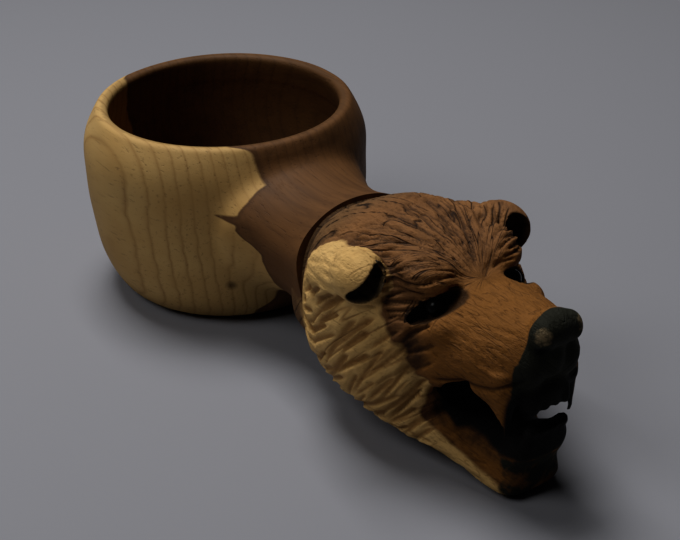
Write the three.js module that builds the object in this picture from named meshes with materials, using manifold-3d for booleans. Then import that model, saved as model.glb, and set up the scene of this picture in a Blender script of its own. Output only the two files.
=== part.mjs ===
// A kuksa: a wooden drinking cup whose handle ends in a carved bear's head.
// Millimetres, +Z up. The origin is the middle of the cup's base, and +X runs along the handle.

import * as THREE from 'three';
import { mergeVertices } from 'three/addons/utils/BufferGeometryUtils.js';
import Module from 'manifold-3d';

// ---- Driving dimensions ----

const clearance = 0.3;          // gap between neighbouring solids

const cupHeight = 58;
const rimInnerRadius = 35;      // half the width of the mouth of the cup
const lipWidth = 4;             // the wall at the rim
const lipRise = 1.7;            // height of the rounded lip
const bellyRadius = 43.4;       // the widest part of the cup
const bellyHeight = 43;
const baseRadius = 28;          // flat that the cup stands on
const undersideReach = 12.5;    // how far the flat base runs on before it rounds up
const undersideRise = 15;       // height where the side has straightened
const wallThickness = 5.4;      // at the belly
const floorThickness = 7;
const floorFlat = 0.72;         // share of the inside radius before the floor curves up

const gripLength = 29.6;        // from the belly of the cup to the middle of the collar
const collarLean = 0.19;        // the collar leans back towards the cup at its top, in radians
const neckTop = 52.5;           // height of the neck's upper line
const neckRadius = 18.5;        // half the width of the waist of the neck
const collarRadius = 22;        // half the width of the neck where it meets the fur
const flareRadius = 25;         // half the width of the neck where it leaves the cup
const neckDepth = 8;            // the neck starts this far inside the cup's wall
const waistShare = 0.55;        // the neck is thinnest at this share of the grip
const neckCurve = 6;            // reach of the curves on each side of the waist
const collarStep = 1;           // the smooth neck stands proud of the fur by this much

const headLength = 79.5;        // from the collar to the tip of the nose
const headHalfWidth = 28;       // across the cheeks
const crownHeight = 59;         // top of the skull above the table
const chinSetBack = 8;          // the chin lies this far behind the tip of the nose

const muzzleTop = 51.5;         // height of the bridge of the nose
const muzzleHalfWidth = 12.5;
const noseHalfWidth = 7.5;
const noseLength = 9;
const noseHeight = 11;

const mouthLength = 25;         // from the front of the lips back to the corner of the mouth
const upperLipHeight = 34;      // roof of the open mouth
const lowerLipHeight = 14.5;    // floor of the open mouth
const tongueHeight = 23.5;      // top of the lower front teeth

const earSpacing = 23;          // from the middle of the head to the middle of an ear
const earRadius = 7.6;
const earPosition = 28;         // from the collar
const earHeight = 50;
const earWall = 2.4;

const eyeRadius = 2.4;          // glass bead
const eyeSpacing = 12;
const eyePosition = 46.5;       // from the collar
const eyeHeight = 45.5;
const socketLength = 16;
const socketWidth = 5;
const socketDepth = 5;
const socketTilt = 0.6;         // the slit rises towards the nose, in radians
const socketTurn = 0.35;        // and turns in towards it

const canineRadius = 2.6;
const canineLength = 13;
const canineTaper = 0.35;       // its blunt tip as a share of its root
const canineLean = 0.1;

// ---- Places that follow from them ----

const rimOuterRadius = rimInnerRadius + lipWidth;
const collarPlace = bellyRadius + gripLength;
const neckCentreHeight = neckTop - collarRadius;
const nosePlace = collarPlace + headLength;
const mouthCorner = nosePlace - noseLength / 2 - mouthLength;
const canineSpacing = muzzleHalfWidth - canineRadius - 2;
const shoulderRise = cupHeight - lipRise - bellyHeight;
const insideRadius = bellyRadius - wallThickness;

const ringSegments = 48;        // facets round the cup
const neckSegments = 32;
const headSides = 32;
const headSquareness = 2.4;     // 2 would make the head's section an ellipse
const curveSteps = 6;
const wideCut = headHalfWidth * 2.4;

// ---- Solids ----

const wasm = await Module();
wasm.setup();

// A closed three.js geometry as a solid that can be joined and cut.
function solid(geometry) {
  const bare = geometry.index ? geometry.clone() : geometry;
  bare.deleteAttribute('normal');
  bare.deleteAttribute('uv');
  const merged = mergeVertices(bare, 1e-4);
  return new wasm.Manifold(new wasm.Mesh({
    numProp: 3,
    vertProperties: Float32Array.from(merged.attributes.position.array),
    triVerts: Uint32Array.from(merged.index.array),
  }));
}

function geometryOf(body) {
  const mesh = body.getMesh();
  const geometry = new THREE.BufferGeometry();
  geometry.setAttribute('position', new THREE.BufferAttribute(mesh.vertProperties.slice(), 3));
  geometry.setIndex(new THREE.BufferAttribute(mesh.triVerts.slice(), 1));
  geometry.computeVertexNormals();
  return geometry;
}

function ellipsoid(centre, radii, turn = [0, 0, 0], segments = 20) {
  const geometry = new THREE.SphereGeometry(1, segments, Math.round(segments * 0.6));
  geometry.scale(...radii);
  geometry.rotateX(turn[0]);
  geometry.rotateY(turn[1]);
  geometry.rotateZ(turn[2]);
  geometry.translate(...centre);
  return solid(geometry);
}

// A cone that points down, with a blunt tip.
function tooth(centre, radius, height, lean) {
  const geometry = new THREE.CylinderGeometry(radius, radius * canineTaper, height, 12);
  geometry.rotateX(Math.PI / 2);
  geometry.rotateY(lean);
  geometry.translate(...centre);
  return solid(geometry);
}

function bezierPoints(from, handleA, handleB, to) {
  const curve = new THREE.CubicBezierCurve(
    new THREE.Vector2(...from),
    new THREE.Vector2(...handleA),
    new THREE.Vector2(...handleB),
    new THREE.Vector2(...to),
  );
  return curve.getPoints(curveSteps);
}

// ---- The cup ----

function cupOutside() {
  const lipBase = cupHeight - lipRise;
  const side = [
    new THREE.Vector2(0, 0),
    ...bezierPoints([baseRadius, 0], [baseRadius + undersideReach, 0],
      [bellyRadius - 1.5, undersideRise], [bellyRadius, bellyHeight]),
    ...bezierPoints([bellyRadius, bellyHeight], [bellyRadius, bellyHeight + shoulderRise * 0.45],
      [(bellyRadius + rimOuterRadius) / 2 + 0.6, lipBase - 2], [rimOuterRadius, lipBase]).slice(1),
  ];
  const lipCentre = rimOuterRadius - lipWidth / 2;
  for (let step = 1; step <= curveSteps; step += 1) {
    const turn = (step / curveSteps) * Math.PI;
    side.push(new THREE.Vector2(
      lipCentre + (Math.cos(turn) * lipWidth) / 2,
      lipBase + Math.sin(turn) * lipRise,
    ));
  }
  side.push(new THREE.Vector2(0, lipBase));
  return solid(turned(side));
}

// Everything inside the wall, open at the top.
function cupInside() {
  const lipBase = cupHeight - lipRise;
  const widest = bellyHeight - 6;
  const side = [
    new THREE.Vector2(0, floorThickness),
    ...bezierPoints([1, floorThickness], [insideRadius * floorFlat, floorThickness],
      [insideRadius, floorThickness * 2], [insideRadius, widest]),
    ...bezierPoints([insideRadius, widest], [insideRadius, widest + shoulderRise * 0.7],
      [rimInnerRadius, lipBase - shoulderRise * 0.45], [rimInnerRadius, lipBase]).slice(1),
    new THREE.Vector2(rimInnerRadius, cupHeight + lipRise),
    new THREE.Vector2(0, cupHeight + lipRise),
  ];
  return solid(turned(side));
}

// A profile of (radius, height) points turned about the vertical axis.
function turned(profile) {
  const geometry = new THREE.LatheGeometry(profile, ringSegments);
  geometry.rotateX(Math.PI / 2);
  return geometry;
}

// The neck: an oval bar along X that flares into the cup, sideways and below but not above.
function neck() {
  const start = rimInnerRadius - neckDepth;
  const end = collarPlace + collarRadius * collarLean;
  const waist = bellyRadius + gripLength * waistShare;
  const profile = [
    new THREE.Vector2(0, start),
    new THREE.Vector2(flareRadius, start),
    ...bezierPoints([flareRadius, bellyRadius - neckDepth], [neckRadius, bellyRadius + neckCurve],
      [neckRadius, waist - neckCurve], [neckRadius, waist]),
    ...bezierPoints([neckRadius, waist], [neckRadius, waist + neckCurve],
      [collarRadius, end - neckCurve], [collarRadius, end]).slice(1),
    new THREE.Vector2(0, end),
  ];
  const geometry = new THREE.LatheGeometry(profile, neckSegments);
  geometry.rotateZ(-Math.PI / 2);
  const places = geometry.attributes.position;
  for (let index = 0; index < places.count; index += 1) {
    const y = places.getY(index);
    const z = places.getZ(index);
    const radius = Math.hypot(y, z);
    const upper = radius > collarRadius ? collarRadius / radius : 1;
    places.setZ(index, z > 0 ? z * upper : z);
  }
  geometry.translate(0, 0, neckCentreHeight);
  return solid(geometry).subtract(beyondCollar(-clearance / 2, 1));
}

// A large block whose face is the collar's leaning plane, moved along X by the offset.
// It fills the side of the plane that the direction points to, 1 for the head's side.
function beyondCollar(offset, direction) {
  const reach = headLength * 1.5;
  const geometry = new THREE.BoxGeometry(reach, reach * 2, reach * 2);
  geometry.translate((reach / 2) * direction, 0, 0);
  geometry.rotateY(-collarLean);
  geometry.translate(collarPlace + offset, 0, neckCentreHeight);
  return solid(geometry);
}

// ---- The bear's head ----

function outline(points) {
  const shape = new THREE.Shape();
  shape.moveTo(...points[0]);
  shape.splineThru(points.slice(1).map((point) => new THREE.Vector2(...point)));
  shape.closePath();
  return shape;
}

// A side view drawn in X and Z, made into a block wider than the head.
function acrossHead(shape) {
  const settings = { depth: wideCut, bevelEnabled: false, curveSegments: 3 };
  const geometry = new THREE.ExtrudeGeometry(shape, settings);
  geometry.rotateX(Math.PI / 2);
  geometry.translate(0, wideCut / 2, 0);
  return solid(geometry);
}

// An oval bar along X. Each station gives its place, half width, top and underside.
function roundedBar(stations) {
  const lines = [1, 2, 3].map((column) => new THREE.SplineCurve(
    stations.map((station) => new THREE.Vector2(station[0], station[column])),
  ));
  const geometry = new THREE.CylinderGeometry(1, 1, 1, headSides, stations.length * 3);
  const places = geometry.attributes.position;
  for (let index = 0; index < places.count; index += 1) {
    const along = THREE.MathUtils.clamp(places.getY(index) + 0.5, 0, 1);
    const [width, top, under] = lines.map((line) => line.getPoint(along));
    const radius = Math.hypot(places.getX(index), places.getZ(index));
    const across = radius > 0 ? places.getX(index) / radius : 0;
    const up = radius > 0 ? places.getZ(index) / radius : 0;
    const swell = (value) => Math.sign(value) * Math.abs(value) ** (2 / headSquareness);
    const middle = (top.y + under.y) / 2;
    const half = (top.y - under.y) / 2;
    places.setXYZ(
      index,
      width.x,
      -width.y * swell(across) * radius,
      middle + half * swell(up) * radius,
    );
  }
  return solid(geometry);
}

// Skull and cheeks, narrowing to the muzzle above and the lower jaw below.
function headBlank() {
  const behind = collarPlace - collarRadius * collarLean - 2;
  const furTop = neckTop - collarStep;
  const furUnder = neckCentreHeight - collarRadius + collarStep;
  return roundedBar([
    [behind, collarRadius - collarStep, furTop, furUnder],
    [collarPlace + 5, headHalfWidth - 4.5, furTop + 3, furUnder - 1.5],
    [collarPlace + 17, headHalfWidth, crownHeight - 1.5, 4.5],
    [collarPlace + 28, headHalfWidth - 0.5, crownHeight, 3],
    [collarPlace + 40, headHalfWidth - 3.5, crownHeight - 4.5, 1.5],
    [collarPlace + 50, muzzleHalfWidth + 6.5, muzzleTop, 0],
    [collarPlace + 60, muzzleHalfWidth + 1, muzzleTop, -1.5],
    [collarPlace + 70, muzzleHalfWidth - 1, muzzleTop + 1.5, -1.5],
    [nosePlace - 3, noseHalfWidth, muzzleTop + 1, -1.5],
    [nosePlace, noseHalfWidth - 4, muzzleTop - 1, 0],
  ]);
}

// The profile of the face: nose, lips, lower teeth and chin, with everything behind left whole.
function faceProfile() {
  const shape = new THREE.Shape();
  shape.moveTo(0, 0);
  shape.lineTo(0, crownHeight + 10);
  shape.lineTo(nosePlace - noseLength, crownHeight + 10);
  shape.lineTo(nosePlace - noseLength, muzzleTop + 3);
  shape.splineThru([
    new THREE.Vector2(nosePlace - 1, muzzleTop),
    new THREE.Vector2(nosePlace - 1, muzzleTop - noseHeight * 0.5),
    new THREE.Vector2(nosePlace - 3.5, muzzleTop - noseHeight),
    new THREE.Vector2(nosePlace - 4, upperLipHeight),
    new THREE.Vector2(nosePlace - 4, tongueHeight - 2),
    new THREE.Vector2(nosePlace - chinSetBack, lowerLipHeight - 2),
    new THREE.Vector2(nosePlace - chinSetBack, 4),
    new THREE.Vector2(nosePlace - chinSetBack - 3, 0),
  ]);
  shape.closePath();
  return acrossHead(shape);
}

// The open mouth runs right through from cheek to cheek and out at the front.
function mouthCut() {
  const shape = outline([
    [mouthCorner, (upperLipHeight + lowerLipHeight) / 2 + 2],
    [mouthCorner + 6, upperLipHeight - 3],
    [mouthCorner + 16, upperLipHeight],
    [nosePlace + 4, upperLipHeight + 1],
    [nosePlace + 4, tongueHeight + 2],
    [nosePlace - 9, tongueHeight],
    [nosePlace - 13, tongueHeight - 3],
    [mouthCorner + 12, lowerLipHeight + 1],
    [mouthCorner + 4, lowerLipHeight + 4],
  ]);
  return acrossHead(shape);
}

function ear(side) {
  const place = [collarPlace + earPosition, side * earSpacing, earHeight];
  const cup = ellipsoid(place, [earRadius * 0.85, earRadius, earRadius * 1.05]);
  const hollowPlace = [place[0] + earRadius * 0.75, place[1] + side * 1.5, place[2] - 0.5];
  const inner = earRadius - earWall;
  const hollow = ellipsoid(hollowPlace, [inner * 1.25, inner, inner * 1.1]);
  return { cup, hollow };
}

function eyePlace(side) {
  return [collarPlace + eyePosition, side * eyeSpacing, eyeHeight];
}

// A slanted slit under the brow, deep enough to seat the bead.
function eyeSocket(side) {
  const [x, y, z] = eyePlace(side);
  const slit = ellipsoid([x, y + side * 1.5, z], [socketLength / 2, socketDepth, socketWidth / 2],
    [0, -socketTilt, -socketTurn * side]);
  const seat = ellipsoid([x, y, z], Array(3).fill(eyeRadius + clearance));
  return slit.add(seat);
}

function bearHead() {
  let head = headBlank().intersect(faceProfile());
  const nose = ellipsoid([nosePlace - noseLength / 2, 0, muzzleTop - noseHeight / 2 + 1],
    [noseLength / 2, noseHalfWidth, noseHeight / 2]);
  head = head.add(nose).subtract(mouthCut());
  const canineCentre = upperLipHeight + 1 - canineLength / 2;
  for (const side of [-1, 1]) {
    const { cup, hollow } = ear(side);
    const upper = tooth([nosePlace - noseLength - 3, side * canineSpacing, canineCentre],
      canineRadius, canineLength, canineLean);
    head = head.add(cup).subtract(hollow).add(upper).subtract(eyeSocket(side));
  }
  return head.subtract(beyondCollar(clearance / 2, -1));
}

// ---- The assembly ----

const walnut = { color: 0x6b4a2c, roughness: 0.55, metalness: 0 };
const carvedWalnut = { color: 0x7a5836, roughness: 0.7, metalness: 0 };
const blackBead = { color: 0x0c0b0a, roughness: 0.08, metalness: 0 };

function piece(name, geometry, finish) {
  const mesh = new THREE.Mesh(geometry, new THREE.MeshStandardMaterial(finish));
  mesh.name = name;
  return mesh;
}

const kuksa = new THREE.Group();
kuksa.add(piece('kuksa_bowl', geometryOf(cupOutside().add(neck()).subtract(cupInside())), walnut));
kuksa.add(piece('bear_head', geometryOf(bearHead()), carvedWalnut));
for (const [name, side] of [['right_eye', -1], ['left_eye', 1]]) {
  const bead = piece(name, new THREE.SphereGeometry(eyeRadius, 16, 10), blackBead);
  bead.position.set(...eyePlace(side));
  kuksa.add(bead);
}

export default kuksa;
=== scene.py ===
import math

import bpy
import numpy as np
from mathutils import Matrix, Vector
from mathutils.bvhtree import BVHTree
from mathutils.kdtree import KDTree


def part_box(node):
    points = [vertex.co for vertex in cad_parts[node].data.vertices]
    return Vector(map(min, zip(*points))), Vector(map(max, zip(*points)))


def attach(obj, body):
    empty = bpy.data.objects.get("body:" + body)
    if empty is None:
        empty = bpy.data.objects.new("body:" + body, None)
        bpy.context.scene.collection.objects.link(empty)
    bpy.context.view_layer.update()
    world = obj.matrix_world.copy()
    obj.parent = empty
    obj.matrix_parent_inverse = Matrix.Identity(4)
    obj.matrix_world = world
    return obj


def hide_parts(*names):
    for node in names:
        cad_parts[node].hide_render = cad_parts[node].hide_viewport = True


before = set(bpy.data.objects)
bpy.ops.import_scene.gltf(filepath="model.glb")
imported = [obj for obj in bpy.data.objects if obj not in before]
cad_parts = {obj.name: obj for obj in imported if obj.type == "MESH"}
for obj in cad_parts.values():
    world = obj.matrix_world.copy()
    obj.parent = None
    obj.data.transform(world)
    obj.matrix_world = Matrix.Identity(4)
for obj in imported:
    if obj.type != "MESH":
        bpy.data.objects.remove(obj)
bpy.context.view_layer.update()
mm = 0.001
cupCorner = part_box("kuksa_bowl")[1]
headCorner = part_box("bear_head")[1]
noseTip = headCorner.x / mm        # the head is measured back from the tip of the nose
cupRadius = cupCorner.y / mm
cupHeight = cupCorner.z / mm

collar = dict(
    place=noseTip - 79.5,          # where the stop cut crosses its middle height
    height=30.5,
    lean=0.19,                     # the cut leans back towards the top by this slope
    grooveWidth=1.0,
    grooveDepth=1.1,
)


def cleanStart():
    if bpy.context.object and bpy.context.object.mode != "OBJECT":
        bpy.ops.object.mode_set(mode="OBJECT")
    bpy.ops.object.select_all(action="DESELECT")


def pick(piece):
    cleanStart()
    piece.select_set(True)
    bpy.context.view_layer.objects.active = piece


def bakePlace(piece):
    # the piece's place goes into its mesh
    pick(piece)
    bpy.ops.object.transform_apply(location=True, rotation=True, scale=True)


def applyModifier(piece, kind, **settings):
    pick(piece)
    modifier = piece.modifiers.new(kind.title(), kind)
    for name, value in settings.items():
        setattr(modifier, name, value)
    bpy.ops.object.modifier_apply(modifier=modifier.name)


def joinAll(name, pieces):
    pick(pieces[0])
    for piece in pieces:
        piece.select_set(True)
    bpy.ops.object.join()
    joined = bpy.context.object
    joined.name = name
    joined.data.name = name
    return joined


def tidyMesh(piece):
    pick(piece)
    bpy.ops.object.mode_set(mode="EDIT")
    bpy.ops.mesh.select_all(action="SELECT")
    bpy.ops.mesh.remove_doubles(threshold=0.000002)
    bpy.ops.mesh.normals_make_consistent(inside=False)
    bpy.ops.object.mode_set(mode="OBJECT")


def voxelRemesh(piece, size):
    pick(piece)
    piece.data.remesh_voxel_size = size * mm
    piece.data.remesh_voxel_adaptivity = 0
    piece.data.use_remesh_fix_poles = False
    bpy.ops.object.voxel_remesh()


def cutAway(piece, cutter):
    applyModifier(piece, "BOOLEAN", operation="DIFFERENCE", object=cutter, solver="EXACT")
    bpy.data.objects.remove(cutter)


def ball(place, radii, turn=(0, 0, 0), segments=72):
    # place in millimetres, turn in degrees
    cleanStart()
    bpy.ops.mesh.primitive_uv_sphere_add(
        segments=segments, ring_count=segments // 2, radius=mm,
        location=Vector(place) * mm, scale=radii,
        rotation=[math.radians(angle) for angle in turn])
    piece = bpy.context.object
    bakePlace(piece)
    return piece


def spike(place, radius, tip, length, turn=(0, 0, 0)):
    # a tooth, its root at the place, pointing down before it is turned
    cleanStart()
    bpy.ops.mesh.primitive_cone_add(
        vertices=24, radius1=radius * mm, radius2=tip * mm, depth=length * mm,
        location=(0, 0, -length / 2 * mm), rotation=(math.pi, 0, 0))
    piece = bpy.context.object
    bakePlace(piece)
    piece.location = Vector(place) * mm
    piece.rotation_euler = [math.radians(angle) for angle in turn]
    bakePlace(piece)
    return piece


def ringBar(stations, sides=80, square=2.0, widest=0.5):
    # rings extruded along X: each station is place, half width, top, underside
    # square 2 keeps the rings oval, more makes them boxy; widest is the height of the widest part
    cleanStart()
    place, width, top, under = stations[0]
    bpy.ops.mesh.primitive_circle_add(
        vertices=sides, radius=mm, fill_type="NGON",
        location=(place * mm, 0, (top + under) / 2 * mm), rotation=(0, math.pi / 2, 0))
    piece = bpy.context.object
    bakePlace(piece)
    bpy.ops.object.mode_set(mode="EDIT")
    bpy.ops.mesh.select_all(action="SELECT")
    middle = (place * mm, 0, (top + under) / 2 * mm)
    bpy.ops.transform.resize(value=(1, width, (top - under) / 2), center_override=middle)
    for before, after in zip(stations, stations[1:]):
        middle = Vector((after[0], 0, (after[2] + after[3]) / 2)) * mm
        step = middle - Vector((before[0], 0, (before[2] + before[3]) / 2)) * mm
        bpy.ops.mesh.extrude_region_move(TRANSFORM_OT_translate={"value": step})
        grow = (1, after[1] / before[1], (after[2] - after[3]) / (before[2] - before[3]))
        bpy.ops.transform.resize(value=grow, center_override=middle)
    bpy.ops.object.mode_set(mode="OBJECT")
    tidyMesh(piece)
    squareUp(piece, stations, square, widest)
    return piece


def squareUp(piece, stations, square, widest):
    places = points(piece)
    along = [station[0] for station in stations]
    width = np.interp(places[:, 0], along, [station[1] for station in stations])
    top = np.interp(places[:, 0], along, [station[2] for station in stations])
    under = np.interp(places[:, 0], along, [station[3] for station in stations])
    across = places[:, 1] / width
    up = (places[:, 2] - (top + under) / 2) / ((top - under) / 2)
    size = (np.abs(across) ** square + np.abs(up) ** square) ** (1 / square)
    size = np.hypot(across, up) / np.maximum(size, 0.01)
    places[:, 1] = across * size * width
    up = up * size
    middle = under + widest * (top - under)
    places[:, 2] = middle + np.where(up > 0, up * (top - middle), up * (middle - under))
    setPoints(piece, places)


def points(piece):
    # vertices of a piece as an array in millimetres
    values = np.zeros(len(piece.data.vertices) * 3)
    piece.data.vertices.foreach_get("co", values)
    return values.reshape(-1, 3) / mm


def setPoints(piece, places):
    piece.data.vertices.foreach_set("co", (places * mm).ravel())
    piece.data.update()


def normals(piece):
    values = np.zeros(len(piece.data.vertices) * 3, np.float32)
    piece.data.vertex_normals.foreach_get("vector", values)
    return values.reshape(-1, 3).astype(float)


def keepValue(piece, name, values):
    layer = piece.data.attributes.new(name, "FLOAT", "POINT")
    layer.data.foreach_set("value", values.astype(np.float32))


def keepVector(piece, name, values):
    layer = piece.data.attributes.new(name, "FLOAT_VECTOR", "POINT")
    layer.data.foreach_set("vector", values.astype(np.float32).ravel())


def smoothStep(low, high, values):
    share = np.clip((values - low) / (high - low), 0, 1)
    return share * share * (3 - 2 * share)


def bump(values, centre, width):
    return np.exp(-((values - centre) / width) ** 2)


def waves(places, seed, size, layers=3):
    # smooth seeded unevenness, about -1 to 1, from a few crossed sine waves
    random = np.random.default_rng(seed)
    total = np.zeros(len(places))
    for layer in range(layers):
        direction = random.normal(size=(4, 3))
        direction /= np.linalg.norm(direction, axis=1)[:, None]
        phase = random.uniform(0, 2 * math.pi, 4)
        turn = places @ direction.T * (2 * math.pi / (size / (1.6 ** layer))) + phase
        total += np.sin(turn).sum(axis=1) / 4 / (1.5 ** layer)
    return total


sapwood = dict(
    edge=-12.3,          # on the cup the pale wood lies beyond this, on the bear's right
    lowerDrift=5.0,      # the edge comes in towards the base by this
    inside=-5.0,         # and goes out inside the cup
    tongue=12.4,         # a tongue of dark wood runs into the pale side below the neck's top
    tongueHeight=40.0,
    tongueSpread=8.0,
    neckEnd=42.8,        # along the neck, where the cup's pale side stops
    neckEndLow=9.0,      # and how much further it runs on the underside
    headEdge=-15.6,
    cheekFront=110.5,    # the pale cheek ends here, further forward lower down
    cheekForward=0.78,
)


def cupSapwood(places):
    # how far a point lies inside the pale wood, in millimetres
    x, y, z = places.T
    edge = sapwood["edge"] + sapwood["lowerDrift"] * (1 - smoothStep(14, 36, z))
    edge = edge + sapwood["inside"] * (1 - smoothStep(36.5, 39.5, np.hypot(x, y)))
    tongue = np.clip(1 - np.abs(z - sapwood["tongueHeight"]) / sapwood["tongueSpread"], 0, 1)
    edge = edge - sapwood["tongue"] * tongue ** 1.3 * smoothStep(8, 24, x)
    edge = edge + 0.5 * waves(places, 5, 22)
    end = sapwood["neckEnd"] + sapwood["neckEndLow"] * (1 - smoothStep(32, 38, z))
    end = end + 0.4 * waves(places, 6, 9)
    return np.minimum(edge - y, (end - x) * 1.5)


def headSapwood(places):
    x, y, z = places.T
    edge = sapwood["headEdge"] - 5 * (1 - smoothStep(80, 89, x))
    edge = edge + 0.55 * np.clip(16 - z, 0, None) * smoothStep(110, 124, x)
    edge = edge - 3.0 * smoothStep(41, 46, z)
    edge = edge + 0.6 * waves(places, 8, 18)
    front = sapwood["cheekFront"] + sapwood["cheekForward"] * np.clip(43 - z, 0, None)
    front = front + 60 * (1 - smoothStep(17.5, 22, z))      # along the whole lower jaw
    front = front + 1.1 * waves(places, 9, 8)
    return np.minimum(edge - y, (front - x) * 0.7)


cup = dict(
    lipWidth=4.6,
    lipInset=4.2,        # the rim's outer edge stands in from the belly by this
    lipRise=1.7,
    baseRadius=31.0,
    bellyHeight=43.0,
    wall=5.4,
    floor=7.0,
    voxel=0.75,
    smoothing=14,
    unevenness=0.28,
    rimTilt=0.9,         # the rim stands a little higher on the side away from the head
    sharpAngle=50,       # degrees, past which an edge is shaded sharp
)

neck = dict(
    stations=[           # along X, half width, top, underside
        (34, 28.0, 52.0, 9.0),
        (40, 25.0, 51.4, 11.5),
        (46, 21.8, 50.4, 13.4),
        (52, 19.8, 49.8, 14.2),
        (59, 19.2, 49.8, 13.8),
        (66, 20.2, 50.8, 12.0),
        (71, 21.7, 52.4, 9.8),
        (78.5, 22.5, 53.4, 7.6),
    ],
    square=2.1,
    widest=0.6,
    hollowHeight=42,     # the ball that keeps the neck's root out of the cup
    hollowRadii=(37.2, 37.2, 33),
    jointSmoothing=90,
)


def cupProfile():
    # bezier points: place, handle before, handle after, as (radius, height)
    lipBase = cupHeight - cup["lipRise"]
    outer = cupRadius - cup["lipInset"]
    inner = outer - cup["lipWidth"]
    inside = cupRadius - cup["wall"]
    lip = (outer + inner) / 2
    belly = cup["bellyHeight"]
    base = cup["baseRadius"]
    return [
        ((0, 0.5), (0, 0.5), (16, 0.5)),
        ((base - 3, 0), (base - 6, 0), (base + 9.5, 0)),
        ((cupRadius, belly), (cupRadius - 0.6, 16), (cupRadius, belly + 6)),
        ((outer, lipBase), (outer + 2.0, lipBase - 2.6), (outer - 0.3, lipBase + 1.0)),
        ((lip, cupHeight), (lip + 1.3, cupHeight), (lip - 1.3, cupHeight)),
        ((inner, lipBase), (inner + 0.1, lipBase + 1.0), (inner + 0.3, lipBase - 6)),
        ((inside, belly - 6), (inside, belly + 3), (inside, cup["floor"] + 9)),
        ((0, cup["floor"]), (inside * 0.72, cup["floor"]), (0, cup["floor"])),
    ]


def makeCup():
    cleanStart()
    bpy.ops.curve.primitive_bezier_curve_add(location=(0, 0, 0))
    line = bpy.context.object
    spline = line.data.splines[0]
    profile = cupProfile()
    spline.bezier_points.add(len(profile) - 2)
    spline.resolution_u = 16
    for point, (place, before, after) in zip(spline.bezier_points, profile):
        point.handle_left_type = point.handle_right_type = "FREE"
        point.co = Vector((place[0], 0, place[1])) * mm
        point.handle_left = Vector((before[0], 0, before[1])) * mm
        point.handle_right = Vector((after[0], 0, after[1])) * mm
    bpy.ops.object.convert(target="MESH")
    body = bpy.context.object
    bpy.ops.object.mode_set(mode="EDIT")
    bpy.ops.mesh.select_all(action="SELECT")
    bpy.ops.mesh.spin(steps=144, angle=2 * math.pi, axis=(0, 0, 1), center=(0, 0, 0))
    bpy.ops.object.mode_set(mode="OBJECT")
    tidyMesh(body)

    bar = ringBar(neck["stations"], square=neck["square"], widest=neck["widest"])
    applyModifier(bar, "SUBSURF", levels=1, render_levels=1)
    cutAway(bar, ball((0, 0, neck["hollowHeight"]), neck["hollowRadii"]))
    whole = joinAll("bowl_and_neck", [body, bar])
    voxelRemesh(whole, cup["voxel"])
    applyModifier(whole, "SMOOTH", factor=0.5, iterations=cup["smoothing"])
    softenJoint(whole)
    carveUneven(whole)
    cutCollar(whole)
    return whole


def cutCollar(piece):
    # the stop cut, made last so that its edge stays sharp
    half = 60
    lean = collar["lean"]
    middle = (collar["place"] + half * math.cos(lean), 0, collar["height"] + half * math.sin(lean))
    cleanStart()
    bpy.ops.mesh.primitive_cube_add(
        size=2 * half * mm, location=Vector(middle) * mm, rotation=(0, -lean, 0))
    block = bpy.context.object
    bakePlace(block)
    cutAway(piece, block)


def softenJoint(piece):
    # a wide hollow curve where the neck leaves the cup
    places = points(piece)
    radius = np.hypot(places[:, 0], places[:, 1])
    near = (places[:, 0] > 16) & (radius > 39.5) & (places[:, 0] < 62) & (places[:, 2] < 56)
    group = piece.vertex_groups.new(name="joint")
    weight = smoothStep(16, 30, places[:, 0]) * (1 - smoothStep(52, 62, places[:, 0]))
    weight = weight * smoothStep(39.5, 41.5, radius) * (1 - smoothStep(52, 56, places[:, 2]))
    weight = weight * smoothStep(2, 8, places[:, 2])
    for index in np.nonzero(near)[0]:
        group.add([int(index)], float(weight[index]), "REPLACE")
    applyModifier(piece, "SMOOTH", factor=0.5, iterations=neck["jointSmoothing"],
                  vertex_group="joint")


def carveUneven(piece):
    # the slight waviness that a knife and scraper leave
    places = points(piece)
    outward = normals(piece)
    amount = cup["unevenness"] * waves(places, 11, 26, layers=2)
    radius = np.hypot(places[:, 0], places[:, 1])
    lip = smoothStep(cupHeight - 5, cupHeight - 1, places[:, 2])
    base = 1 - smoothStep(0.5, 4, places[:, 2])
    amount = (amount - cup["unevenness"]) * (1 - 0.6 * lip) * (1 - base)
    amount = np.where(radius < 36, amount * 0.5, amount)
    places = places + outward * amount[:, None]
    # the lift grows from nothing beside the neck to all of it on the far side
    away = np.clip((0.56 * places[:, 1] - 0.83 * places[:, 0]) / cupRadius, 0, 1)
    places[:, 2] += cup["rimTilt"] * away * smoothStep(40, cupHeight, places[:, 2])
    setPoints(piece, places)


def markCup(piece):
    # marks the hollow's wall and floor, and how far each point lies in the pale wood
    places = points(piece)
    outward = normals(piece)
    inner = np.hypot(places[:, 0], places[:, 1]) < cupRadius - cup["wall"] + 1.5
    facing = (outward[:, :2] * places[:, :2]).sum(axis=1) < 0
    floorUp = (outward[:, 2] > 0.5) & (places[:, 2] < 20)
    keepValue(piece, "inside", (inner & (facing | floorUp)).astype(float))
    keepValue(piece, "sapwood", cupSapwood(places))


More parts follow.
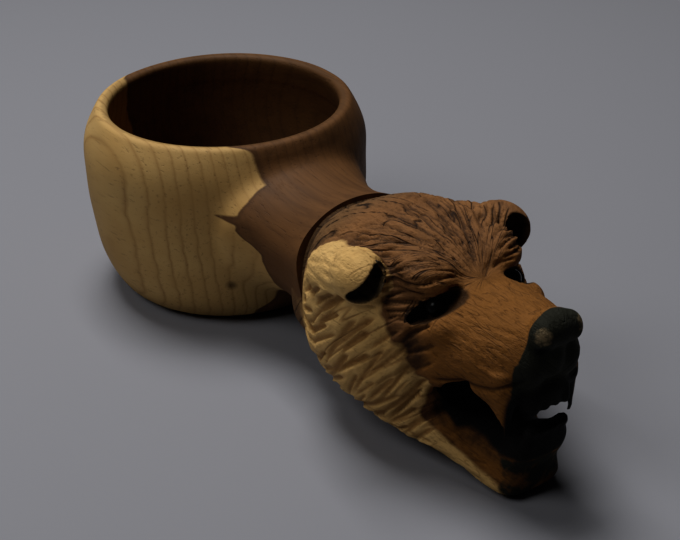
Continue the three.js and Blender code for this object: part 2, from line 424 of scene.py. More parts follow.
head = dict(
    coarse=0.95,         # voxel of the rough block
    middling=0.7,        # voxel once the features are on
    fine=0.515,          # voxel of the finished surface
    blockSmoothing=12,
    featureSmoothing=7,
    skinSmoothing=6,
    square=dict(skull=2.5, muzzle=2.15, jaw=2.8, gum=2.4),
    widest=dict(skull=0.42, muzzle=0.3, jaw=0.5, gum=0.5),
    # rings of each mass: back from the nose, half width, top, underside
    skull=[
        (87, 19.6, 49.8, 10.4),
        (79, 20.8, 51.6, 9.4),
        (76, 22.6, 54.2, 8.4),
        (70, 25.4, 56.8, 6.8),
        (61, 27.3, 58.6, 5.4),
        (52, 27.4, 58.9, 4.8),
        (43, 25.2, 57.0, 5.0),
        (36, 21.5, 53.6, 8.5),
        (31, 17.5, 50.0, 14.0),
    ],
    muzzle=[
        (44, 17.5, 51.5, 26.0),
        (34, 17.2, 51.0, 26.5),
        (27, 16.6, 50.8, 27.5),
        (16, 14.4, 50.9, 30.0),
        (9, 11.6, 50.6, 33.0),
        (6, 9.8, 48.6, 35.0),
        (3.6, 7.2, 45.4, 37.0),
    ],
    jaw=[
        (52, 22.5, 24.0, 5.0),
        (38, 19.2, 20.0, 4.4),
        (27.5, 15.2, 17.2, 4.0),
        (22, 13.4, 13.6, 2.8),
        (16, 11.6, 9.4, 1.6),
        (10.5, 9.8, 7.2, 0.5),
        (7.4, 7.8, 7.0, 1.6),
    ],
    gum=[
        (42, 11.6, 16.6, 7.0),
        (26, 10.8, 15.8, 5.0),
        (16, 10.2, 16.2, 4.0),
        (9, 9.2, 21.0, 6.0),
        (5.2, 7.4, 23.2, 12.0),
        (4.0, 5.8, 22.2, 15.0),
    ],
    chin=((10.8, 0, 6.4), (4.6, 9.2, 5.9)),
)

# on both sides, given for the bear's left: place (back from the nose, across, up), radii, turn
swellings = dict(
    cheek=((57, 13.5, 29), (20, 14.2, 19.5), (0, 0, 0)),
    muzzleRoot=((33, 13.4, 33.5), (13, 5.6, 8.5), (0, 6, -12)),
    brow=((39, 10.8, 51.8), (9.0, 7.2, 4.8), (0, 12, -26)),
    underEye=((28.5, 13.6, 41.4), (6.4, 4.0, 4.6), (0, -20, -20)),
    lipPad=((10.5, 5.6, 39.5), (8, 5.6, 7.4), (0, 0, -6)),
)
features = dict(
    ear=((50.5, 22.0, 49.6), (9.6, 7.0, 7.2), (0, -13, 8)),
    earRoot=((61.5, 20.2, 43.8), (13.0, 7.6, 9.0), (0, -17, 6)),
    noseWing=((4.0, 3.9, 48.9), (3.6, 3.2, 4.1), (0, 0, 0)),
    fangRoot=((13.5, 10.4, 33.2), (8.0, 3.0, 5.4), (0, 6, -10)),
)
fangs = dict(            # place, root radius, tip radius, length, turn
    upper=((10.4, 9.4, 38.5), 3.9, 1.2, 18.0, (2, -5, 0)),
    upperBehind=((14.0, 10.0, 38.5), 3.9, 1.1, 14.6, (2, -14, 0)),
    upperLast=((17.0, 10.4, 38.5), 3.6, 1.0, 11.0, (2, -22, 0)),
    lower=((9.0, 9.2, 12.0), 2.6, 1.2, -9.0, (0, 0, 0)),
)
noseMiddle = dict(
    bridge=((5.0, 0, 49.4), (4.7, 6.0, 4.5), (0, 6, 0)),
    groove=((4.6, 0, 42.5), (3.0, 3.0, 6.0), (0, 0, 0)),
    upperLip=((7.4, 0, 31.4), (4.2, 8.2, 4.6), (0, 0, 0)),
)
frontTeeth = dict(
    across=(-4.8, -1.6, 1.6, 4.8),
    lower=(5.2, 22.2, (2.0, 1.7, 2.0)),     # back from the nose, height, radii
    upper=(5.0, 29.4, (1.9, 1.6, 3.0)),
)


def backOf(distance):
    return noseTip - distance


def onSide(side, place, turn):
    # a place and turn given for the bear's left, on the side asked for
    back, across, height = place
    return (backOf(back), side * across, height), (turn[0] * side, turn[1], turn[2] * side)


def sideBall(side, place, radii, turn):
    place, turn = onSide(side, place, turn)
    return ball(place, radii, turn)


def headBar(name):
    stations = [(backOf(back), *sizes) for back, *sizes in head[name]]
    return ringBar(stations, square=head["square"][name], widest=head["widest"][name])


def headMasses():
    # the rough block: skull, muzzle, lower jaw, gums
    chinPlace, chinRadii = head["chin"]
    masses = [headBar(name) for name in ("skull", "muzzle", "jaw", "gum")]
    masses.append(sideBall(1, chinPlace, chinRadii, (0, 0, 0)))
    for side in (-1, 1):
        for place, radii, turn in swellings.values():
            masses.append(sideBall(side, place, radii, turn))
    block = joinAll("bear_head_carved", masses)
    voxelRemesh(block, head["coarse"])
    applyModifier(block, "SMOOTH", factor=0.5, iterations=head["blockSmoothing"])
    return block


def headFeatures(block):
    # ears, nose and teeth
    pieces = [block]
    for side in (-1, 1):
        for place, radii, turn in features.values():
            pieces.append(sideBall(side, place, radii, turn))
        for place, root, tip, length, turn in fangs.values():
            place, turn = onSide(side, place, turn)
            pieces.append(spike(place, root, tip, length, turn))
    for place, radii, turn in noseMiddle.values():
        pieces.append(sideBall(1, place, radii, turn))
    for across in frontTeeth["across"]:
        for row in ("lower", "upper"):
            back, height, radii = frontTeeth[row]
            pieces.append(ball((backOf(back), across, height), radii))
    whole = joinAll("bear_head_carved", pieces)
    voxelRemesh(whole, head["middling"])
    applyModifier(whole, "SMOOTH", factor=0.5, iterations=head["featureSmoothing"])
    return whole


def hollow(place, radii, turn=(0, 0, 0), side=1):
    place, turn = onSide(side, place, turn)
    return place, radii, turn


hollows = dict(
    rightEye=hollow((31.5, 12.4, 46.6), (9.4, 5.2, 2.3), (0, -33, -31), -1),
    leftEye=hollow((31.5, 12.4, 46.6), (9.4, 5.2, 2.3), (0, -33, -31)),
    rightEar=hollow((43.8, 24.6, 49.8), (5.6, 2.6, 6.6), (37, 0, 0), -1),
    leftEar=hollow((43.2, 22.6, 50.8), (6.4, 3.9, 5.2), (14, 0, 0)),
    rightNostril=hollow((1.2, 5.6, 45.4), (3.0, 2.0, 1.5), (0, 0, 30), -1),
    leftNostril=hollow((1.2, 5.6, 45.4), (3.0, 2.0, 1.5), (0, 0, 30)),
    mouthSides=hollow((18.0, 0, 23.8), (10.6, 40, 6.6), (0, 9, 0)),
    throat=hollow((26, 0, 23.4), (17, 12.0, 8.2)),
    frontGap=hollow((8, 0, 25.2), (10, 7.6, 3.4), (0, 4, 0)),
)


def headHollows(block):
    for place, radii, turn in hollows.values():
        cutAway(block, ball(place, radii, turn))
    return block


def within(places, name):
    # distance from the middle of a hollow, 1 at its skin
    place, radii, turn = hollows[name]
    angles = Matrix.Rotation(math.radians(turn[2]), 3, "Z")
    angles = angles @ Matrix.Rotation(math.radians(turn[1]), 3, "Y")
    angles = angles @ Matrix.Rotation(math.radians(turn[0]), 3, "X")
    local = (places - np.array(place)) @ np.array(angles)
    return np.linalg.norm(local / radii, axis=1)


def makeHead():
    block = headHollows(headFeatures(headMasses()))
    voxelRemesh(block, head["fine"])
    applyModifier(block, "SMOOTH", factor=0.5, iterations=head["skinSmoothing"])
    return block


# each part's cuts, and the box it lies in: height, back from the nose, off the middle
cuts = dict(
    crown=dict(
        seed=3, apart=2.3, length=(4, 8), width=0.8, depth=0.5,
        steep=0.5,       # how much of the cut's width its steeper side takes
        height=(46, 99), back=(55, 78), off=(-1, 24)),
    forehead=dict(
        seed=9, apart=2.3, length=(9, 22), width=1.0, depth=1.0, steep=0.35,
        height=(42, 99), back=(27, 60), off=(-1, 21), backSlope=0.4),
    cheek=dict(
        seed=4, apart=4.7, length=(12, 28), width=2.5, depth=1.35, steep=0.2,
        height=(8, 44), back=(27, 74), off=(10, 99)),
    ears=dict(
        seed=12, apart=3.2, length=(5, 12), width=1.4, depth=0.4, steep=0.3,
        height=(43, 99), back=(40, 72), off=(17, 99)),
    muzzle=dict(
        seed=14, apart=2.4, length=(4, 10), width=0.9, depth=0.3, steep=0.4,
        height=(36, 99), back=(8, 27), off=(-1, 99)),
    throat=dict(
        seed=6, apart=4.2, length=(8, 16), width=2.2, depth=0.7, steep=0.4,
        height=(-9, 12), back=(14, 76), off=(-1, 99)),
)

knife = dict(
    step=0.45,           # how often a cut is pressed in along its way
    widthSpread=(0.75, 1.2),
    depthSpread=(0.6, 1.2),
    veer=0.16,
    full=0.8,            # a cut this deep gets the full painted shade in the head's colour
)


def isIn(places, stroke):
    x, y, z = places.T
    back = noseTip - x
    off = np.abs(y)
    front = stroke["back"][0] + stroke.get("backSlope", 0) * off
    inHeight = (z > stroke["height"][0]) & (z < stroke["height"][1])
    inWidth = (off > stroke["off"][0]) & (off < stroke["off"][1])
    return inHeight & inWidth & (back > front) & (back < stroke["back"][1])


def flow(place, name):
    # which way a cut runs from its start
    x, y, z = place
    side = -1 if y < 0 else 1
    if name == "forehead":
        return Vector((x - backOf(30), y, 0))      # fanned out from between the eyes
    if name == "crown":
        return Vector((-0.5, side * 0.9, 0))
    if name == "cheek":
        return Vector((-1, 0, -1.0 if noseTip - x < 66 else -0.4))
    if name == "muzzle":
        return Vector((-1, side * 0.2, 0.3))
    return Vector((-1, 0, 0))


def spacedStarts(places, allowed, apart):
    # places in the given order, less those too close to an earlier one
    starts = []
    grid = {}
    reach = [(i, j, k) for i in (-1, 0, 1) for j in (-1, 0, 1) for k in (-1, 0, 1)]
    for index in allowed:
        place = places[index]
        cell = tuple((place / apart).astype(int))
        keys = [(cell[0] + i, cell[1] + j, cell[2] + k) for i, j, k in reach]
        around = [grid[key] for key in keys if key in grid]
        if any(np.linalg.norm(place - other) < apart for other in around):
            continue
        grid[cell] = place
        starts.append(place)
    return starts


def pressCut(near, found, beside, way, wide, deep, steep, depths):
    # one press of the blade: a notch with a steep side and a shallow one
    for spread, index, _ in near.find_range(found, wide):
        offset = spread - found
        across = offset.dot(beside) / wide
        across = across / steep if across > 0 else -across
        ahead = min(1.0, max(0.0, 1.6 - 1.6 * abs(offset.dot(way)) / wide))
        cut = deep * max(0.0, 1 - across) * ahead
        if cut > depths[index]:
            depths[index] = cut


def carve(places, tree, near, name, stroke):
    # how deep one part's cuts go at each vertex, and how many there are
    depths = np.zeros(len(places))
    random = np.random.default_rng(stroke["seed"])
    allowed = np.nonzero(isIn(places, stroke))[0]
    starts = spacedStarts(places, random.permutation(allowed), stroke["apart"])
    for start in starts:
        length = random.uniform(*stroke["length"])
        wide = stroke["width"] * random.uniform(*knife["widthSpread"])
        deep = stroke["depth"] * random.uniform(*knife["depthSpread"])
        veer = random.normal(0, knife["veer"])
        spot = Vector(start)
        count = int(length / knife["step"])
        for number in range(count):
            share = number / count
            taper = min(1.0, 6 * share) * min(1.0, 2.2 * (1 - share)) ** 0.7
            found, normal, _, _ = tree.find_nearest(spot)
            if found is None or not isIn(np.array([found]), stroke)[0]:
                break
            way = Matrix.Rotation(veer, 3, normal) @ flow(found, name)
            way = way - normal * way.dot(normal)
            if way.length < 0.05:
                break
            way.normalize()
            beside = normal.cross(way) * (1 if found.y < 0 else -1)
            pressCut(near, found, beside, way, wide, deep * taper, stroke["steep"], depths)
            spot = found + way * knife["step"]
    return depths, len(starts)


def combHead(piece):
    # the lie of the fur: across and along it, in millimetres, for the fine texture
    places = points(piece)
    x, y, z = places.T
    dx = backOf(30) - x
    reach = np.hypot(dx, y)
    crown = np.stack([np.arctan2(y, dx) * 22, reach, z * 0], axis=1)
    cheek = np.stack([(x - z) * 0.707, (x + z) * 0.707, y], axis=1)
    muzzle = np.stack([z - np.abs(y), x - 0.2 * z, y], axis=1)
    back = noseTip - x
    low = 1 - smoothStep(40, 45, z)
    front = 1 - smoothStep(25, 31, back)
    upward = smoothStep(0.15, 0.55, normals(piece)[:, 2])
    keepValue(piece, "furCrown", (1 - low) * (1 - front) * upward)
    keepValue(piece, "furCheek", low * (1 - front))
    keepValue(piece, "furMuzzle", front)
    keepVector(piece, "combCrown", crown)
    keepVector(piece, "combCheek", cheek)
    keepVector(piece, "combMuzzle", muzzle)


def carveHead(piece):
    places = points(piece)
    outward = normals(piece)
    corners = [tuple(face.vertices) for face in piece.data.polygons]
    tree = BVHTree.FromPolygons([Vector(place) for place in places], corners)
    near = KDTree(len(places))
    for index, place in enumerate(places):
        near.insert(place, index)
    near.balance()
    depths = np.zeros(len(places))
    for name, stroke in cuts.items():
        layer, count = carve(places, tree, near, name, stroke)
        depths = np.maximum(depths, layer)
        print("carved", name, count)
    depths = np.maximum(depths, collarGroove(places))
    depths = np.maximum(depths, lipCrease(places))
    # the cut depth also sets the painted shade in the head's colour
    keepValue(piece, "cut", np.clip(depths / knife["full"], 0, 1))
    setPoints(piece, places - outward * depths[:, None])


def collarGroove(places):
    line = collar["place"] - collar["lean"] * (places[:, 2] - collar["height"])
    return bump(places[:, 0], line + 1.0, collar["grooveWidth"]) * collar["grooveDepth"]


lipShape = dict(
    along=[122, 134, 142, 149],
    height=[28.6, 31.6, 34.0, 38.0],
    width=0.9,
    depth=0.85,
)


def lipCrease(places):
    # the line between the upper lip and the muzzle, on both sides
    line = np.interp(places[:, 0], lipShape["along"], lipShape["height"])
    crease = bump(places[:, 2], line, lipShape["width"]) * lipShape["depth"]
    crease = crease * smoothStep(123, 127, places[:, 0])
    return crease * smoothStep(7, 9, np.abs(places[:, 1]))


def newGroup(name, inputs, outputs):
    group = bpy.data.node_groups.new(name, "ShaderNodeTree")
    for label, kind, value in inputs:
        socket = group.interface.new_socket(label, in_out="INPUT", socket_type=kind)
        if value is not None:
            socket.default_value = value
    for label, kind in outputs:
        group.interface.new_socket(label, in_out="OUTPUT", socket_type=kind)
    return group, group.nodes.new("NodeGroupInput"), group.nodes.new("NodeGroupOutput")


def link(tree, source, target):
    tree.links.new(source, target)


def calc(tree, operation, first, second=None, third=None, clamp=False):
    node = tree.nodes.new("ShaderNodeMath")
    node.operation = operation
    node.use_clamp = clamp
    for socket, value in zip(node.inputs, (first, second, third)):
        if value is None:
            continue
        if isinstance(value, (int, float)):
            socket.default_value = value
        else:
            link(tree, value, socket)
    return node.outputs[0]


def mixColour(tree, share, first, second, mode="MIX"):
    node = tree.nodes.new("ShaderNodeMix")
    node.data_type = "RGBA"
    node.blend_type = mode
    for socket, value in ((node.inputs[0], share), (node.inputs[6], first), (node.inputs[7], second)):
        if isinstance(value, (int, float)):
            socket.default_value = value
        elif isinstance(value, tuple):
            socket.default_value = (*value, 1)
        else:
            link(tree, value, socket)
    return node.outputs[2]


def noise(tree, vector, scale, detail=3.0, rough=0.55, stretch=None):
    if stretch:
        mapping = tree.nodes.new("ShaderNodeMapping")
        mapping.inputs["Scale"].default_value = stretch
        link(tree, vector, mapping.inputs["Vector"])
        vector = mapping.outputs[0]
    node = tree.nodes.new("ShaderNodeTexNoise")
    node.inputs["Scale"].default_value = scale
    node.inputs["Detail"].default_value = detail
    node.inputs["Roughness"].default_value = rough
    link(tree, vector, node.inputs["Vector"])
    return node.outputs[0]


def ramp(tree, value, low, high):
    node = tree.nodes.new("ShaderNodeMapRange")
    node.inputs["From Min"].default_value = low
    node.inputs["From Max"].default_value = high
    link(tree, value, node.inputs["Value"])
    return node.outputs[0]


def srgb(red, green, blue):
    def linear(value):
        value /= 255
        return value / 12.92 if value <= 0.04045 else ((value + 0.055) / 1.055) ** 2.4
    return linear(red), linear(green), linear(blue)


woodColours = dict(
    pale=srgb(190, 150, 90),
    paleLight=srgb(210, 174, 114),
    paleLine=srgb(134, 92, 46),
    dark=srgb(116, 80, 47),
    darkLight=srgb(140, 99, 60),
    darkStreak=srgb(72, 48, 30),
    darkLine=srgb(56, 36, 22),
    pore=srgb(48, 30, 17),
)


def walnutGroup():
    # solid walnut: year rings lie across Y, fibres run along X
    group, given, result = newGroup("walnut figure", [
        ("Vector", "NodeSocketVector", None),
        ("Sapwood Depth", "NodeSocketFloat", 0.0),
        ("Ring Spacing", "NodeSocketFloat", 0.0029),
        ("Ring Contrast", "NodeSocketFloat", 1.0),
    ], [
        ("Color", "NodeSocketColor"),
        ("Height", "NodeSocketFloat"),
        ("Pale", "NodeSocketFloat"),
    ])
    place = given.outputs["Vector"]
    split = group.nodes.new("ShaderNodeSeparateXYZ")
    link(group, place, split.inputs[0])
    # noises from coarse to fine, stretched along the fibres
    sway = noise(group, place, 16, 2.0, 0.5, (0.5, 0.7, 0.6))
    wobble = noise(group, place, 190, 2.0, 0.5, (0.2, 1, 1))
    fibre = noise(group, place, 1400, 3.0, 0.6, (0.035, 1, 1))
    streak = noise(group, place, 240, 3.0, 0.6, (0.08, 1, 1))
    cloud = noise(group, place, 38, 3.0, 0.6, (0.5, 1, 1))
    across = calc(group, "MULTIPLY_ADD", calc(group, "SUBTRACT", sway, 0.5), 0.006,
                   split.outputs[1])
    across = calc(group, "MULTIPLY_ADD", calc(group, "SUBTRACT", wobble, 0.5), 0.0013, across)
    below = calc(group, "SUBTRACT", split.outputs[2], 0.045)
    across = calc(group, "MULTIPLY_ADD", calc(group, "MULTIPLY", below, below), -3.3, across)
    ring = calc(group, "DIVIDE", across, given.outputs["Ring Spacing"])
    inRing = calc(group, "FRACT", ring)
    late = calc(group, "POWER", inRing, 9.0)
    early = calc(group, "SUBTRACT", 1.0, calc(group, "MULTIPLY", inRing, 7.0), clamp=True)
    line = calc(group, "MAXIMUM", late, calc(group, "MULTIPLY", early, 0.8))
    line = calc(group, "MULTIPLY", line, ramp(group, cloud, 0.25, 0.75))
    line = calc(group, "MULTIPLY", line, given.outputs["Ring Contrast"])

    edge = calc(group, "MULTIPLY_ADD", calc(group, "SUBTRACT", streak, 0.5), 1.6,
                 given.outputs["Sapwood Depth"])
    pale = ramp(group, edge, -0.4, 0.5)
    fromEdge = calc(group, "DIVIDE", calc(group, "ABSOLUTE", edge), 2.2)
    nearEdge = calc(group, "SUBTRACT", 1.0, fromEdge, clamp=True)

    palePlain = mixColour(group, ramp(group, cloud, 0.3, 0.7), woodColours["pale"],
                          woodColours["paleLight"])
    paleLined = mixColour(group, calc(group, "MULTIPLY", line, 0.7), palePlain,
                          woodColours["paleLine"])
    darkPlain = mixColour(group, ramp(group, cloud, 0.3, 0.7), woodColours["dark"],
                          woodColours["darkLight"])
    darkStreaked = mixColour(group, calc(group, "MULTIPLY", ramp(group, streak, 0.45, 0.75), 0.45),
                             darkPlain, woodColours["darkStreak"])
    darkEdge = mixColour(group, calc(group, "MULTIPLY", nearEdge, 0.55), darkStreaked,
                         woodColours["darkStreak"])
    darkLined = mixColour(group, calc(group, "MULTIPLY", line, 0.45), darkEdge,
                          woodColours["darkLine"])
    base = mixColour(group, pale, darkLined, paleLined)
    pores = ramp(group, fibre, 0.58, 0.72)
    base = mixColour(group, calc(group, "MULTIPLY", pores, 0.34), base, woodColours["pore"])
    link(group, base, result.inputs["Color"])
    height = calc(group, "MULTIPLY_ADD", pores, -0.6, calc(group, "MULTIPLY", line, -0.25))
    link(group, height, result.inputs["Height"])
    link(group, pale, result.inputs["Pale"])
    return group


def furGroup():
    # fine knife lines that follow the lie of the fur; the vector is (across, along) in mm
    group, given, result = newGroup("knife lines", [
        ("Vector", "NodeSocketVector", None),
        ("Spacing", "NodeSocketFloat", 2.4),
        ("Length", "NodeSocketFloat", 14.0),
    ], [
        ("Line", "NodeSocketFloat"),
        ("Comb", "NodeSocketFloat"),
    ])
    vector = given.outputs["Vector"]
    scale = group.nodes.new("ShaderNodeCombineXYZ")
    link(group, calc(group, "DIVIDE", 1.0, given.outputs["Spacing"]), scale.inputs[0])
    link(group, calc(group, "DIVIDE", 1.0, given.outputs["Length"]), scale.inputs[1])
    stretched = group.nodes.new("ShaderNodeVectorMath")
    stretched.operation = "MULTIPLY"
    link(group, vector, stretched.inputs[0])
    link(group, scale.outputs[0], stretched.inputs[1])
    wander = noise(group, stretched.outputs[0], 0.8, 1.0, 0.5)
    level = calc(group, "ABSOLUTE", calc(group, "SUBTRACT", wander, 0.5))
    thin = calc(group, "SUBTRACT", 1.0, calc(group, "DIVIDE", level, 0.03), clamp=True)
    broken = ramp(group, noise(group, stretched.outputs[0], 1.3, 1.0, 0.5), 0.38, 0.45)
    link(group, calc(group, "MULTIPLY", thin, broken), result.inputs["Line"])
    comb = noise(group, stretched.outputs[0], 4.5, 2.0, 0.6)
    link(group, comb, result.inputs["Comb"])
    return group


def startMaterial(name):
    material = bpy.data.materials.new(name)
    material.use_nodes = True
    tree = material.node_tree
    shader = tree.nodes["Principled BSDF"]
    place = tree.nodes.new("ShaderNodeTexCoord").outputs["Object"]
    return material, tree, shader, place


def attribute(tree, name):
    node = tree.nodes.new("ShaderNodeAttribute")
    node.attribute_name = name
    return node.outputs["Fac"]


def vectorAttribute(tree, name):
    node = tree.nodes.new("ShaderNodeAttribute")
    node.attribute_name = name
    return node.outputs["Vector"]


def useWalnut(tree, place, walnut, contrast):
    node = tree.nodes.new("ShaderNodeGroup")
    node.node_tree = walnut
    node.inputs["Ring Contrast"].default_value = contrast
    link(tree, place, node.inputs["Vector"])
    link(tree, attribute(tree, "sapwood"), node.inputs["Sapwood Depth"])
    return node


def useFur(tree, knife, name, spacing, length):
    # the lines and fine combing of one part of the head, faded to where they belong
    node = tree.nodes.new("ShaderNodeGroup")
    node.node_tree = knife
    node.inputs["Spacing"].default_value = spacing
    node.inputs["Length"].default_value = length
    link(tree, vectorAttribute(tree, "comb" + name), node.inputs["Vector"])
    share = attribute(tree, "fur" + name)
    return (calc(tree, "MULTIPLY", node.outputs["Line"], share),
            calc(tree, "MULTIPLY", node.outputs["Comb"], share))


def bumpNode(tree, height, strength, distance):
    node = tree.nodes.new("ShaderNodeBump")
    node.inputs["Strength"].default_value = strength
    node.inputs["Distance"].default_value = distance
    link(tree, height, node.inputs["Height"])
    return node.outputs[0]


cupFinish = dict(
    oil=srgb(36, 25, 15),
    oilOnPale=0.22,
    oilOnDark=0.42,
    knot=srgb(50, 32, 18),
    knotPlace=(0.0352, -0.0206, 0.0162),
    knotSize=0.0022,
    cupInsideShade=srgb(52, 38, 20),     # painted shade darkening the hollow's wall and floor
    roughness=0.55,
    shine=0.16,
)


def cupMaterial(walnut):
    material, tree, shader, place = startMaterial("oiled walnut")
    wood = useWalnut(tree, place, walnut, 1.0)
    inside = attribute(tree, "inside")
    heart = calc(tree, "SUBTRACT", 1.0, wood.outputs["Pale"])
    moreOil = cupFinish["oilOnDark"] - cupFinish["oilOnPale"]
    oiled = calc(tree, "MULTIPLY_ADD", heart, moreOil, cupFinish["oilOnPale"])
    colour = mixColour(tree, oiled, wood.outputs["Color"], cupFinish["oil"])
    toKnot = tree.nodes.new("ShaderNodeVectorMath")
    toKnot.operation = "DISTANCE"
    link(tree, place, toKnot.inputs[0])
    toKnot.inputs[1].default_value = cupFinish["knotPlace"]
    offKnot = ramp(tree, toKnot.outputs["Value"], 0.0006, cupFinish["knotSize"])
    knot = calc(tree, "SUBTRACT", 1.0, offKnot)
    colour = mixColour(tree, calc(tree, "MULTIPLY", knot, 0.7), colour, cupFinish["knot"])
    # painted shade inside the cup
    colour = mixColour(tree, calc(tree, "MULTIPLY", inside, 0.3), colour, cupFinish["cupInsideShade"])
    link(tree, colour, shader.inputs["Base Color"])
    rub = noise(tree, place, 90, 3.0)
    roughness = calc(tree, "MULTIPLY_ADD", rub, 0.2, cupFinish["roughness"])
    link(tree, roughness, shader.inputs["Roughness"])
    grit = noise(tree, place, 700, 3.0, 0.6, (0.4, 1, 1))
    height = calc(tree, "MULTIPLY_ADD", grit, 0.5, wood.outputs["Height"])
    link(tree, bumpNode(tree, height, 0.4, 0.00025), shader.inputs["Normal"])
    shader.inputs["Specular IOR Level"].default_value = cupFinish["shine"]
    return material


headTones = dict(
    gold=srgb(130, 86, 36),
    grey=srgb(104, 82, 56),
    # groove tones: painted shade darkening the knife cuts and lines, on dark and on pale wood
    groove=srgb(26, 15, 9),
    paleGrooveShade=srgb(120, 80, 38),
    stain=srgb(36, 36, 27),
    wearAndHighlight=srgb(118, 102, 76),
    # black painted shade for the eyes, ears, nostrils and mouth
    hollowShade=(0.0035, 0.003, 0.0026),
    linesOnDark=0.95,    # how strong the painted shade in the fine lines is on the dark wood
    linesOnPale=0.20,
    roughness=0.6,
    shine=0.16,
)


def headMaterial(walnut, knife):
    material, tree, shader, place = startMaterial("carved walnut")
    wood = useWalnut(tree, place, walnut, 0.0)
    cut = attribute(tree, "cut")
    fleck = noise(tree, place, 900, 3.0, 0.6)
    blotch = noise(tree, place, 140, 4.0, 0.6)
    crownLine, crownComb = useFur(tree, knife, "Crown", 2.4, 17.0)
    cheekLine, cheekComb = useFur(tree, knife, "Cheek", 5.0, 40.0)
    muzzleLine, muzzleComb = useFur(tree, knife, "Muzzle", 1.3, 7.0)
    comb = calc(tree, "ADD", calc(tree, "ADD", crownComb, cheekComb), muzzleComb)
    pale = wood.outputs["Pale"]

    colour = mixColour(tree, calc(tree, "MULTIPLY", attribute(tree, "gold"), 0.85),
                       wood.outputs["Color"], headTones["gold"])
    colour = mixColour(tree, calc(tree, "MULTIPLY", attribute(tree, "grey"), 0.6), colour,
                       headTones["grey"])
    # painted shade: knife cuts, fine lines and combing are darkened towards the groove tone, less on
    # pale wood
    groove = mixColour(tree, pale, headTones["groove"], headTones["paleGrooveShade"])
    less = headTones["linesOnPale"] - headTones["linesOnDark"]
    strength = calc(tree, "MULTIPLY_ADD", pale, less, headTones["linesOnDark"])
    lines = calc(tree, "MAXIMUM", calc(tree, "MULTIPLY", crownLine, strength),
                 calc(tree, "MULTIPLY", cheekLine, 0.6))
    lines = calc(tree, "MAXIMUM", lines, calc(tree, "MULTIPLY", muzzleLine, 0.4))
    cutShade = calc(tree, "MULTIPLY", ramp(tree, cut, 0.5, 1.1), 0.8)
    colour = mixColour(tree, calc(tree, "MAXIMUM", cutShade, lines), colour, groove)
    shade = calc(tree, "MULTIPLY", ramp(tree, comb, 0.45, 0.65), 0.18)
    colour = mixColour(tree, shade, colour, groove)
    # painted shade under the eyes, in the mouth corners and on the lower gums
    recessShade = calc(tree, "MULTIPLY", attribute(tree, "recessShade"), ramp(tree, blotch, 0.35, 0.6))
    colour = mixColour(tree, calc(tree, "MULTIPLY", recessShade, 0.75), colour, headTones["groove"])

    ragged = calc(tree, "SUBTRACT", blotch, 0.5)
    stained = calc(tree, "ADD", ragged, attribute(tree, "stain"))
    stained = ramp(tree, stained, 0.38, 0.6)
    # the nose's rubbed spots are lightened, partly as wear and partly as a painted highlight
    wearAndHighlight = ramp(tree, calc(tree, "MULTIPLY", attribute(tree, "wearAndHighlight"), fleck), 0.25, 0.5)
    stainColour = mixColour(tree, wearAndHighlight, headTones["stain"], headTones["wearAndHighlight"])
    colour = mixColour(tree, stained, colour, stainColour)
    # black painted shade in the hollows
    colour = mixColour(tree, attribute(tree, "hollowShade"), colour, headTones["hollowShade"])
    link(tree, colour, shader.inputs["Base Color"])
    rub = noise(tree, place, 300, 3.0)
    roughness = calc(tree, "MULTIPLY_ADD", rub, 0.25, headTones["roughness"])
    link(tree, roughness, shader.inputs["Roughness"])
    grit = noise(tree, place, 1500, 4.0, 0.65, (0.5, 1, 1))
    height = calc(tree, "ADD", wood.outputs["Height"], calc(tree, "MULTIPLY", grit, 1.5))
    height = calc(tree, "MULTIPLY_ADD", comb, 0.7, height)
    height = calc(tree, "MULTIPLY_ADD", lines, -1.8, height)
    link(tree, bumpNode(tree, height, 0.6, 0.0005), shader.inputs["Normal"])
    shader.inputs["Specular IOR Level"].default_value = headTones["shine"]
    return material


bead = dict(
    black=(0.002, 0.002, 0.002),
    cloudy=(0.006, 0.005, 0.004),
    roughness=0.25,
    shine=0.1,
    segments=40,
)


def beadMaterial():
    material, tree, shader, place = startMaterial("black glass bead")
    cloud = noise(tree, place, 700, 2.0)
    link(tree, mixColour(tree, cloud, bead["black"], bead["cloudy"]), shader.inputs["Base Color"])
    shader.inputs["Roughness"].default_value = bead["roughness"]
    shader.inputs["Specular IOR Level"].default_value = bead["shine"]
    return material


def floorMaterial():
    material, _, shader, _ = startMaterial("pale studio floor")
    shader.inputs["Base Color"].default_value = (*studio["floorTone"], 1)
    shader.inputs["Roughness"].default_value = 0.75
    shader.inputs["Specular IOR Level"].default_value = 0.2
    return material


shadedHollows = dict(              # hollows filled with black painted shade to their skin, and this far past it
    rightEye=1.03,
    leftEye=1.03,
    rightEar=1.06,
    leftEar=1.02,
    rightNostril=1.3,
    leftNostril=1.3,
)


def nearPlace(places, middle, radii):
    # distance from a point in millimetres, 1 on the ball or oval around it
    return np.linalg.norm((places - middle) / radii, axis=1)


def stainOf(places):
    # dark stain on the nose and lips, thinner on the chin
    x, y, z = places.T
    back = noseTip - x
    off = np.abs(y)
    nose = 1 - smoothStep(6.4, 7.8, back + 0.10 * np.clip(z - 46, 0, None) + 0.12 * off)
    nose = nose * smoothStep(40, 43, z)
    lips = (1 - smoothStep(6.5, 9.5, back + 0.15 * off)) * (1 - smoothStep(41, 44, z))
    lips = lips * smoothStep(13, 15, z)
    chin = (1 - smoothStep(9.5, 12.5, back)) * (1 - smoothStep(13, 15, z)) * 0.57
    return np.maximum(np.maximum(nose, lips), chin)


def hollowShadeOf(places):
    # black painted shade in the eyes, ears, nostrils and mouth
    x, y, z = places.T
    hollowShade = np.zeros(len(places))
    for name, skin in shadedHollows.items():
        hollowShade = np.maximum(hollowShade, 1 - smoothStep(skin - 0.1, skin + 0.12, within(places, name)))
    mouth = (1 - smoothStep(10.4, 11.6, np.abs(y))) * smoothStep(13.5, 15.0, z)
    mouth = mouth * (1 - smoothStep(32, 35, z))
    mouth = mouth * (1 - smoothStep(148, 151, x)) * smoothStep(100, 108, x)
    return np.maximum(hollowShade, mouth)


